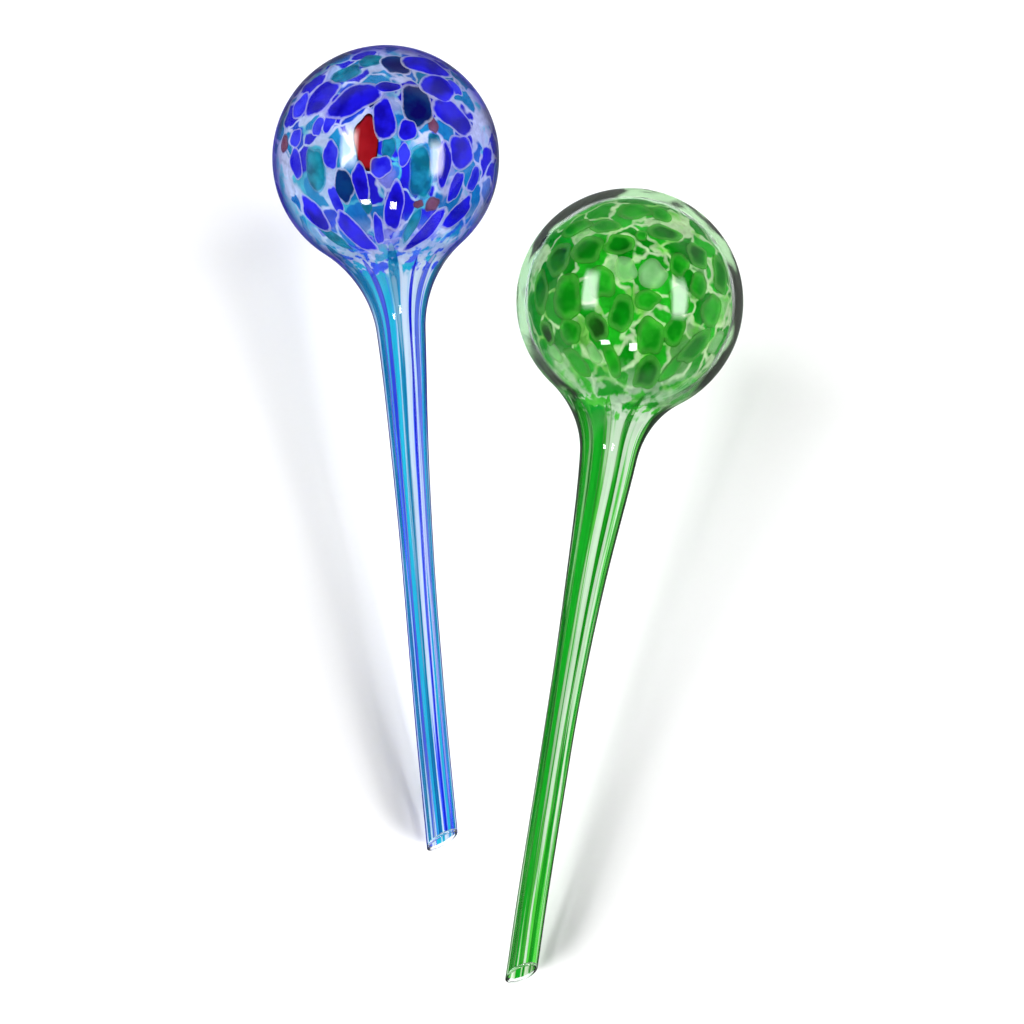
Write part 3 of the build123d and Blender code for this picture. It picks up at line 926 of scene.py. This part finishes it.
@dataclass(frozen=True)
class Wall:
    """A layer of glass that runs all round the globe and down to the mouth, closed by a rounded rim.

    Attributes:
        globe: The globe that it is part of.
        depth: How deep its outer skin lies under the globe's outside, on the ball.
        stem_depth: The same on the stem.
        inner_depth: How deep its inner skin lies on the ball.
        inner_stem_depth: The same on the stem.
        short: How far short of the cut mouth it ends.
        lip: How much thicker it is for the last millimetre, round the mouth.
        ripple: How deep its outer skin dips by chance.
        rows: How many rings each skin has.
        columns: How many points each ring has.
    """

    globe: Globe
    depth: float
    stem_depth: float
    inner_depth: float
    inner_stem_depth: float
    short: float = 0.0
    lip: float = 0.0
    ripple: float = 0.0
    rows: int = 190
    columns: int = 128

    def surface(self) -> Surface:
        """The outer skin from the ball's top down, the half-round rim, and the inner skin back up."""
        globe = self.globe
        outer = globe.outside.inset(self.depth, self.stem_depth)
        inner = globe.outside.inset(self.inner_depth, self.inner_stem_depth)
        half = (outer.stem - inner.stem + self.lip) / 2
        angle = np.linspace(0, TURN, self.columns, endpoint=False)
        reach = outer.reaches(self.rows, globe.stem_reach)[:, None]
        out = globe.skin(outer, angle, reach, self.short + half)
        dip = 1 - globe.ripple(angle, reach, self.ripple) / np.maximum(outer.ball, 1)
        out[..., :2] *= dip[..., None]
        out[..., 2] = np.where(reach < 60, out[..., 2] * dip, out[..., 2])
        home = inner.reaches(self.rows, globe.stem_reach)
        home = np.union1d(home, globe.stem_reach - np.linspace(0, 1.2, 7))[::-1, None]
        tuck = np.clip((home - globe.stem_reach + 1.0) / 0.6, 0, 1) * (self.lip > 0)
        back = globe.skin(inner, angle, home, self.short + half)
        back[..., :2] *= 1 - tuck[..., None] * self.lip / inner.stem
        turn = np.linspace(0, np.pi, 9)[1:-1, None]
        radius = outer.stem - half + half * np.cos(turn)
        x, y = radius * np.cos(angle), radius * np.sin(angle)
        reach_end = globe.mouth(x, y) - self.short - half + half * np.sin(turn)
        rim = np.stack([x, y, -reach_end], axis=-1)
        inside = np.concatenate([np.zeros((len(out) + len(rim), 1)), 1 - tuck])
        made = Surface()
        made.add(np.concatenate([out, rim, back]), {"inside": np.broadcast_to(inside, (len(inside), self.columns))})
        return made


@dataclass(frozen=True)
class Chips:
    """The chips of one colour, each a thin lens with a wavering edge, where the CAD has that chip.

    Attributes:
        globe: The globe that they are part of.
        colour: The colour's word in the node's name.
        depth: How deep the chips' middle lies under the globe's outside.
        thick: How thick a chip is at its middle.
        growth: How much larger a chip is than its solid, which is drawn inside its oval.
        waver: How far the edge wavers, as a share of its distance from the middle.
        rings: How many rings from the middle to the edge.
        columns: How many points each ring has.
    """

    globe: Globe
    colour: str
    depth: float
    thick: float = 0.14
    growth: float = 1.2
    waver: float = 0.09
    rings: int = 10
    columns: int = 40

    def fitted(self, points: np.ndarray) -> tuple[np.ndarray, np.ndarray, np.ndarray, float, float]:
        """The smallest box round a solid, turned in the plane that touches the ball there.

        Each point is looked at from the ball's centre and lands on that plane. Of 36 turns, the one whose box
        has the least area is taken.

        Args:
            points: The solid's points, upright.

        Returns:
            The direction of the box's middle, its two unit axes, and half its width and height on a unit ball.
        """
        way = points / np.linalg.norm(points, axis=1, keepdims=True)
        out = way.mean(axis=0) / np.linalg.norm(way.mean(axis=0))
        side = np.cross([0, 0, 1], out)
        side = side / np.linalg.norm(side)
        rise = np.cross(out, side)
        flat = np.stack([way @ side, way @ rise], axis=1) / (way @ out)[:, None]
        turns = np.linspace(0, np.pi / 2, 36, endpoint=False)
        along = np.stack([np.cos(turns), np.sin(turns)], axis=1)
        across = np.stack([-np.sin(turns), np.cos(turns)], axis=1)
        u, v = flat @ along.T, flat @ across.T
        best = int(np.argmin(np.ptp(u, axis=0) * np.ptp(v, axis=0)))
        u, v = u[:, best], v[:, best]
        first = side * along[best, 0] + rise * along[best, 1]
        second = side * across[best, 0] + rise * across[best, 1]
        middle = out + first * (u.max() + u.min()) / 2 + second * (v.max() + v.min()) / 2
        return middle, first, second, np.ptp(u) / 2, np.ptp(v) / 2

    def surface(self) -> Surface:
        """All chips of this colour."""
        chance = np.random.default_rng(self.globe.seed + len(self.colour) * 7)
        made = Surface()
        angle = np.linspace(0, TURN, self.columns, endpoint=False)
        out = np.linspace(0, 1, self.rings + 1)[1:, None]
        for i, part in enumerate(loose_parts(frame["nodes"][f"{self.globe.name}_{self.colour}_chips"])):
            middle, first, second, wide, high = self.fitted(self.globe.upright(part))
            edge = np.ones(self.columns)
            for times in (2, 3, 4, 5):
                edge = edge + self.waver / np.sqrt(times) * np.sin(times * angle + chance.uniform(0, TURN))
            power = chance.uniform(1.8, 2.4)
            square = (np.abs(np.cos(angle)) ** power + np.abs(np.sin(angle)) ** power) ** (-1 / power)
            u = wide * self.growth * out * edge * square * np.cos(angle)
            v = high * self.growth * out * edge * square * np.sin(angle)
            way = middle + u[..., None] * first + v[..., None] * second
            way = way / np.linalg.norm(way, axis=-1, keepdims=True)
            half = self.thick / 2 * np.sqrt(np.clip(1 - out**3, 0, 1))[..., None]
            deep = self.depth + 0.02 * (i % 5)
            skin = self.globe.on_skin(self.globe.outside.inset(deep, deep * 0.2), way)
            rings = np.concatenate([skin + way * half, (skin - way * half)[-2::-1]])
            rim = np.broadcast_to(out, u.shape)
            tone = np.full(rings.shape[:2], chance.uniform(0, 1))
            made.add(rings, {"rim": np.concatenate([rim, rim[-2::-1]]), "tone": tone})
        return made


@dataclass(frozen=True)
class Streaks:
    """The streaks of one colour, each a long strip that starts in a rounded head and runs to the mouth.

    Attributes:
        globe: The globe that they are part of.
        colour: The colour's word in the node's name.
        depth: How deep the strips lie under the globe's outside, on the ball.
        stem_depth: The same on the stem.
        thick: How thick a strip is along its middle.
        rows: How many rings each strip has.
        columns: How many points run across each of its two sides.
    """

    globe: Globe
    colour: str
    depth: float
    stem_depth: float
    thick: float = 0.12
    rows: int = 90
    columns: int = 12

    def surface(self) -> Surface:
        """All strips of this colour.

        Each point lies on the skin at the strip's own angle plus a share of its half width. The half width
        grows from nothing over the head and wavers a little, and the angle wanders slowly.
        """
        globe = self.globe
        chance = np.random.default_rng(globe.seed + 100 + len(self.colour))
        made = Surface()
        skin = globe.outside.inset(self.depth, self.stem_depth)
        across = np.linspace(-1, 1, self.columns)
        share = np.linspace(0, 1, self.rows + 1)[1:, None]
        for part in loose_parts(frame["nodes"][f"{globe.name}_{self.colour}_streaks"]):
            upright = globe.upright(part)
            straight = upright[-upright[:, 2] > 170]
            round_axis = np.arctan2(straight[:, 1], straight[:, 0])
            mean = np.arctan2(np.sin(round_axis).mean(), np.cos(round_axis).mean())
            off = np.angle(np.exp(1j * (round_axis - mean)))
            mean, half = mean + (off.max() + off.min()) / 2, np.ptp(off) / 2
            head = chance.uniform(24, 33)
            reach = head + (globe.stem_reach - head) * share**1.25
            grown = np.sin(np.pi / 2 * np.clip((reach - head) / 20, 0, 1)) ** 0.7
            wave = chance.uniform(0, TURN, 3)
            width = 0.8 * half * grown * (1 + 0.12 * np.sin(reach / 19 + wave[0]) + 0.08 * np.sin(reach / 7 + wave[1]))
            drift = 0.05 * np.sin(reach / 40 + wave[2])
            strip = globe.skin(skin, mean + drift + width * across, reach, 1.4)
            lens = self.thick / 2 * np.sqrt(1 - across**2 * 0.98)[None, :, None]
            outwards = strip * np.array([1, 1, 0])
            outwards = outwards / np.maximum(np.linalg.norm(outwards, axis=-1, keepdims=True), 1e-9)
            rings = np.concatenate([strip + outwards * lens, (strip - outwards * lens)[:, ::-1]], axis=1)
            rim = np.broadcast_to(np.abs(across), strip.shape[:2])
            rim = np.concatenate([rim, rim[:, ::-1]], axis=1)
            tone = np.full(rings.shape[:2], chance.uniform(0, 1))
            made.add(rings, {"rim": rim, "tone": tone})
        return made


BLUE = Globe(
    Colourway.BLUE, Outline(40.0, 5.7, 41.0, 1800.0), 244.0, 24.6, 26.4, 1.1, 0.4,
    ((-60, 0), (40, 0), (55, 0.4), (75, 0.4), (100, -0.1), (160, -0.6), (205, -0.6), (244, 0), (260, 0)), 11,
)
GREEN = Globe(
    Colourway.GREEN, Outline(40.0, 5.4, 32.0, 1260.0), 243.0, 27.5, 34.6, 3.2, 0.42,
    (
        (-60, 0), (32, 0), (50, 1.3), (66, 1.3), (86, 0.6), (106, 0.1), (150, -0.5), (220, -0.5), (243, 0),
        (260, 0),
    ),
    23,
)

CASING_GLASS = {
    Colourway.BLUE: ClearGlass(
        "fire_polished_clear_glass_on_blue", "#fafbff", "#5446b4", "#56526e", 0.52, 0.8, rim_alt_share=0.5
    ),
    Colourway.GREEN: ClearGlass(
        "fire_polished_clear_glass_on_green", "#fafffb", "#aad2a4", "#2c312a", 0.56, 0.64, rim_alt_share=0.7, ball_gap=1.0
    ),
}
GROUND_GLASS = {
    Colourway.BLUE: PaleGlass(
        "milky_lavender_glass", "#eceffe", "#5cd0dc", "#2c24e0", "#209ccc", 0.24, 8.0, "#eefaff", "#4468ff",
        "#2cc8e0", 0.52, 0.72,
    ),
    Colourway.GREEN: PaleGlass(
        "milky_pale_green_glass", "#e8f6cc", "#98e06c", "#28c828", "#069c14", 0.1, 9.5, "#f6ffe8", "#60e44c",
        "#18b428", 0.52, 0.66,
    ),
}
BLUE_HALO, GREEN_HALO = "#f0f0ff", "#74d85c"
CHIP_GLASS = {
    Colourway.BLUE: {
        "cobalt": ColouredGlass("cobalt_glass_frit", "#1206a8", "#2c22fa", BLUE_HALO, 0.2, 0.5),
        "light_cobalt": ColouredGlass("light_cobalt_glass_frit", "#241ae0", "#5054ff", BLUE_HALO, 0.3, 0.5),
        "navy": ColouredGlass("navy_glass_frit", "#0c0868", "#084484", BLUE_HALO, 0.15, 0.5),
        "teal": ColouredGlass("teal_glass_frit", "#08788e", "#2cc0cc", "#b4ecf4", 0.35, 0.8, 5.0),
        "red": ColouredGlass("red_glass_frit", "#a00814", "#b81620", "#2c060c", 0.05, 0.1),
        "mauve": ColouredGlass("smoky_mauve_glass_frit", "#8c4a60", "#ac7088", "#d4c4e4", 0.3, 0.8),
    },
    Colourway.GREEN: {
        "deep": ColouredGlass("deep_green_glass_frit", "#006c08", "#08a014", GREEN_HALO, 0.2, 0.7, halo_from=0.6),
        "leaf": ColouredGlass("leaf_green_glass_frit", "#06a012", "#38d030", GREEN_HALO, 0.3, 0.75, halo_from=0.6),
        "olive": ColouredGlass("olive_green_glass_frit", "#184212", "#28881e", GREEN_HALO, 0.15, 0.65, halo_from=0.6),
        "pale": ColouredGlass("pale_green_glass_frit", "#a4e496", "#ccf6be", "#d4f8c0", 0.45, 0.75, halo_from=0.7),
    },
}
STREAK_GLASS = {
    Colourway.BLUE: {
        "cobalt": ColouredGlass("drawn_cobalt_glass", "#1a10e4", "#3848ff", "#b8d0ff", 0.45, 0.8, 2.8, 0.9, 0.7),
        "teal": ColouredGlass("drawn_teal_glass", "#10a4cc", "#50e0f8", "#d4faff", 0.65, 0.9, 2.8, 0.9, 0.8),
        "periwinkle": ColouredGlass("drawn_periwinkle_glass", "#4664ff", "#a8b8ff", "#f2f1ff", 0.45, 0.85, 2.8, 0.9, 0.8),
    },
    Colourway.GREEN: {
        "deep": ColouredGlass("drawn_deep_green_glass", "#048c0c", "#38d838", "#d4fcc0", 0.55, 0.8, 2.4, 0.9, 0.85),
        "leaf": ColouredGlass("drawn_leaf_green_glass", "#2cc82c", "#8cf470", "#ecfcdc", 0.45, 0.85, 2.4, 0.9, 0.85),
        "olive": ColouredGlass("drawn_olive_green_glass", "#107410", "#34b42c", "#c8f4b4", 0.55, 0.8, 2.4, 0.9, 0.8),
    },
}
CHIP_WORDS = {
    Colourway.BLUE: ("cobalt", "light_cobalt", "navy", "teal", "red", "mauve"),
    Colourway.GREEN: ("deep", "leaf", "olive", "pale"),
}
STREAK_WORDS = {
    Colourway.BLUE: ("cobalt", "teal", "periwinkle"),
    Colourway.GREEN: ("deep", "leaf", "olive"),
}


@dataclass(frozen=True)
class DressedGlobe:
    """One globe's pieces.

    Attributes:
        globe: Its sizes and its place.
    """

    globe: Globe

    def build(self) -> dict[str, Object]:
        """Builds every layer from the outside in.

        Returns:
            The pieces by name, without the globe's name.
        """
        globe = self.globe
        way = globe.colourway
        cavity, stem_cavity = globe.cavity_depth, globe.stem_cavity_depth
        finishes = {word: glass.material() for word, glass in CHIP_GLASS[way].items()}
        pieces: dict[str, Object] = {}
        casing = Wall(globe, 0.0, 0.0, cavity, stem_cavity, lip=0.5, ripple=0.15)
        pieces["casing"] = finished(
            globe, "casing", casing.surface(), CASING_GLASS[way].material(),
            ["ball_casing", "stem_casing"],
        )
        for order, word in enumerate(CHIP_WORDS[way]):
            chips = Chips(globe, word, cavity + 0.22 + 0.03 * order)
            name = f"{word}_chips"
            pieces[name] = finished(globe, name, chips.surface(), finishes[word], [name])
        for order, word in enumerate(STREAK_WORDS[way]):
            streaks = Streaks(globe, word, cavity + 0.5 + 0.02 * order, stem_cavity + 0.12 + 0.01 * order)
            name = f"{word}_streaks"
            finish = STREAK_GLASS[way][word].material()
            pieces[name] = finished(globe, name, streaks.surface(), finish, [name])
        ground = Wall(globe, cavity + 0.7, stem_cavity + 0.24, cavity + 0.8, stem_cavity + 0.3, short=1.4, rows=150)
        pieces["pale_ground"] = finished(
            globe, "pale_ground", ground.surface(), GROUND_GLASS[way].material(),
            ["pale_ground"],
        )
        lining = Wall(globe, cavity + 0.95, stem_cavity + 0.36, cavity + 1.05, stem_cavity + 0.42, short=1.5, rows=150)
        pieces["lining"] = finished(
            globe, "lining", lining.surface(), LiningGlass(f"blown_clear_glass_lining_of_{globe.name}").material(),
            ["inner_lining"],
        )
        return pieces


@dataclass(frozen=True)
class Softbox:
    """A rectangular lamp that faces the pair, its height along the pair's +Y, its light fading to its edges.

    Attributes:
        name: Its name.
        place: Where it stands, in metres.
        size: Its width and height, in metres.
        power: Its power in watts.
        fade: The share of its width over which it fades.
        shine: How many times brighter its cover looks in mirrors and glass.
    """

    name: str
    place: tuple[float, float, float]
    size: tuple[float, float]
    power: float
    fade: float
    shine: float

    def turned(self) -> Matrix:
        """Its matrix: away from the pair along Z, across along X, and as near to the pair's +Y as fits."""
        away = (Vector(self.place) - Vector((0, 0.06, 0.04))).normalized()
        across = Vector((0, 1, 0)).cross(away).normalized()
        turn = Matrix((across, away.cross(across), away)).transposed().to_4x4()
        return Matrix.Translation(self.place) @ turn

    def cover(self, tree: NodeTree) -> None:
        """Makes the light fade towards the four edges, as through a cloth cover."""
        tree.nodes.clear()
        spot = add_node(tree, "ShaderNodeNewGeometry").outputs["Parametric"]
        middle = add_node(tree, "ShaderNodeVectorMath", {0: spot, 1: (0.5, 0.5, 0.0)}, operation="SUBTRACT")
        off = add_node(tree, "ShaderNodeVectorMath", {0: middle.outputs[0]}, operation="ABSOLUTE")
        sides = add_node(tree, "ShaderNodeSeparateXYZ", {0: off.outputs[0]})
        level = [
            add_node(
                tree, "ShaderNodeMapRange",
                {"Value": sides.outputs[i], "From Min": 0.5, "From Max": 0.5 - self.fade},
                interpolation_type="SMOOTHSTEP",
            ).outputs[0]
            for i in range(2)
        ]
        both = add_node(tree, "ShaderNodeMath", {0: level[0], 1: level[1]}, operation="MULTIPLY")
        glow = add_node(tree, "ShaderNodeEmission", {"Strength": both.outputs[0]})
        add_node(tree, "ShaderNodeOutputLight", {"Surface": glow.outputs[0]})

    def build(self, papers: list[Object]) -> None:
        """Makes the lamp twice: once as matt things get its light, and once as mirrors and glass see its cover.

        The cover is in front, because of two lamps in one plane only one is seen. Neither lights the paper.

        Args:
            papers: The paper.
        """
        for role, power in (("light", self.power), ("cover", self.power * self.shine)):
            lamp = bpy.data.lights.new(f"{self.name}_{role}", "AREA")
            lamp.shape = "RECTANGLE"
            lamp.size, lamp.size_y = self.size
            lamp.energy = power
            made = bpy.data.objects.new(lamp.name, lamp)
            made.matrix_world = self.turned()
            if role == "cover":
                lamp.use_nodes = True
                self.cover(lamp.node_tree)
                made.matrix_world = made.matrix_world @ Matrix.Translation((0, 0, -0.01))
            made.visible_camera = False
            made.visible_diffuse = role == "light"
            made.visible_glossy = made.visible_transmission = role == "cover"
            bpy.context.scene.collection.objects.link(made)
            unlit = bpy.data.collections.new(f"{lamp.name}_leaves_out")
            for paper in papers:
                unlit.objects.link(paper)
            for linked in unlit.collection_objects:
                linked.light_linking.link_state = "EXCLUDE"
            made.light_linking.receiver_collection = unlit


@dataclass(frozen=True)
class Sun:
    """A soft, far lamp that lights one sheet of paper and throws the shadow of the pieces it is given over it.

    Attributes:
        name: Its name.
        azimuth: Where it stands, in degrees from +X.
        height: How high it stands, in degrees.
        strength: Its light on a surface that faces it, in watts per square metre.
        spread: How wide it looks, in degrees.
    """

    name: str
    azimuth: float
    height: float
    strength: float
    spread: float

    def build(self, floor: Object, shades: list[Object]) -> Object:
        """Makes the lamp.

        Args:
            floor: The paper, which is all that it lights.
            shades: The pieces that shade the paper from it.

        Returns:
            The lamp's object.
        """
        lamp = bpy.data.lights.new(self.name, "SUN")
        lamp.energy = self.strength
        lamp.angle = np.radians(self.spread)
        made = bpy.data.objects.new(self.name, lamp)
        turn, rise = np.radians(self.azimuth), np.radians(self.height)
        place = Vector((np.cos(turn) * np.cos(rise), np.sin(turn) * np.cos(rise), np.sin(rise)))
        made.location = place * 2
        made.rotation_euler = (-place).to_track_quat("-Z", "Y").to_euler()
        bpy.context.scene.collection.objects.link(made)
        lit = bpy.data.collections.new(f"{self.name}_lights")
        lit.objects.link(floor)
        made.light_linking.receiver_collection = lit
        shading = bpy.data.collections.new(f"{self.name}_shades")
        for shade in shades:
            shading.objects.link(shade)
        made.light_linking.blocker_collection = shading
        return made


@dataclass(frozen=True)
class Studio:
    """The paper, the lamps, the white surroundings and the camera.

    Attributes:
        ambient: How bright the surroundings are as light on matt things, where 1 is white.
        ceiling: How bright the ceiling looks in glass.
        seam: Where the two sheets of paper meet, between the stems, in metres.
        aim: The point on the pair that is in the middle of the photograph, in metres.
        distance: How far the camera is above it.
        view: How wide the photograph's view is at the ball's middle.
    """

    ambient: float = 0.3
    ceiling: float = 0.03
    seam: float = -0.009
    aim: tuple[float, float] = (0.0015, 0.0014)
    distance: float = 5.0
    view: float = 0.36

    def papers(self) -> tuple[Object, Object]:
        """The two sheets that the pair lies on: the blue globe's on the left and the green globe's."""
        finish = PaperSweep("matt_white_paper").material()
        sheets = []
        for name, left, right in (("left_paper", -4.0, self.seam), ("right_paper", self.seam, 4.0)):
            mesh = bpy.data.meshes.new(name)
            corners = [(left, -4.0, -5e-5), (right, -4.0, -5e-5), (right, 4.0, -5e-5), (left, 4.0, -5e-5)]
            mesh.from_pydata(corners, [], [(0, 1, 2, 3)])
            mesh.materials.append(finish)
            sheets.append(bpy.data.objects.new(name, mesh))
            bpy.context.scene.collection.objects.link(sheets[-1])
        return sheets[0], sheets[1]

    def world(self) -> None:
        """White surroundings for the camera; mirrors and glass see them with a dark ceiling above them.

        The ceiling starts a little above the horizon. Matt things get a softer light from all round.
        """
        world = bpy.data.worlds.new("white_studio")
        world.use_nodes = True
        tree = world.node_tree
        tree.nodes.clear()
        path = add_node(tree, "ShaderNodeLightPath")
        way = add_node(tree, "ShaderNodeTexCoord").outputs["Generated"]
        height = add_node(tree, "ShaderNodeSeparateXYZ", {0: way}).outputs["Z"]
        walls = add_node(
            tree, "ShaderNodeMapRange",
            {"Value": height, "From Min": 0.05, "From Max": 0.35, "To Min": 1.0, "To Max": self.ceiling},
            interpolation_type="SMOOTHSTEP",
        )
        glass = add_node(
            tree, "ShaderNodeMath", {0: path.outputs[Ray.GLOSSY.value], 1: path.outputs[Ray.TRANSMISSION.value]},
            operation="MAXIMUM",
        )
        soft = add_node(tree, "ShaderNodeBackground", {"Color": (1, 1, 1, 1), "Strength": self.ambient})
        room = add_node(tree, "ShaderNodeBackground", {"Color": (1, 1, 1, 1), "Strength": walls.outputs[0]})
        white = add_node(tree, "ShaderNodeBackground", {"Color": (1, 1, 1, 1), "Strength": 1.0})
        seen = add_node(
            tree, "ShaderNodeMixShader", {0: glass.outputs[0], 1: soft.outputs[0], 2: room.outputs[0]}
        )
        shown = add_node(
            tree, "ShaderNodeMixShader",
            {0: path.outputs[Ray.CAMERA.value], 1: seen.outputs[0], 2: white.outputs[0]},
        )
        add_node(tree, "ShaderNodeOutputWorld", {"Surface": shown.outputs[0]})
        bpy.context.scene.world = world

    def camera(self) -> None:
        """A long lens straight above, with +Y up the picture."""
        lens = bpy.data.cameras.new("camera")
        lens.lens = lens.sensor_width * self.distance / self.view
        lens.clip_start, lens.clip_end = 0.1, 50.0
        made = bpy.data.objects.new("camera", lens)
        made.location = (*self.aim, 0.04 + self.distance)
        bpy.context.scene.collection.objects.link(made)
        bpy.context.scene.camera = made

    def light(self, papers: tuple[Object, Object], blue: dict[str, Object], green: dict[str, Object]) -> None:
        """Two tall softboxes, two small lamps towards the mouths, and a low lamp for each stem's shadow."""
        both = list(papers)
        Softbox("left_softbox", (-0.62, 0.27, 0.80), (0.36, 0.74), 8.6, 0.3, 1.75).build(both)
        Softbox("right_softbox", (0.79, 0.11, 0.65), (0.36, 0.74), 8.6, 0.3, 1.75).build(both)
        Softbox("left_small_lamp", (-0.34, -0.57, 0.69), (0.15, 0.10), 1.0, 0.05, 1.6).build(both)
        Softbox("right_small_lamp", (0.09, -0.64, 0.70), (0.11, 0.15), 1.0, 0.05, 1.6).build(both)
        shades = [[piece for name, piece in pieces.items() if name.endswith("streaks")] for pieces in (blue, green)]
        for paper, name, azimuth, height, shade in (
            (papers[0], "sun_from_right", -20, 19, shades[0]), (papers[1], "sun_from_left", 197, 18, shades[1])
        ):
            Sun(name, azimuth, height, 10.9, 45).build(paper, shade)


def main() -> None:
    """Builds the two globes, then the studio round them."""
    logging.basicConfig(level=logging.INFO, format="%(name)s: %(message)s")
    studio = Studio()
    studio.camera()
    blue = DressedGlobe(BLUE).build()
    green = DressedGlobe(GREEN).build()
    papers = studio.papers()
    studio.world()
    studio.light(papers, blue, green)
    bpy.context.scene.view_settings.view_transform = "Standard"
    cycles = bpy.context.scene.cycles
    cycles.transparent_max_bounces = 32
    cycles.caustics_refractive = cycles.caustics_reflective = False


if __name__ == "__main__":
    main()
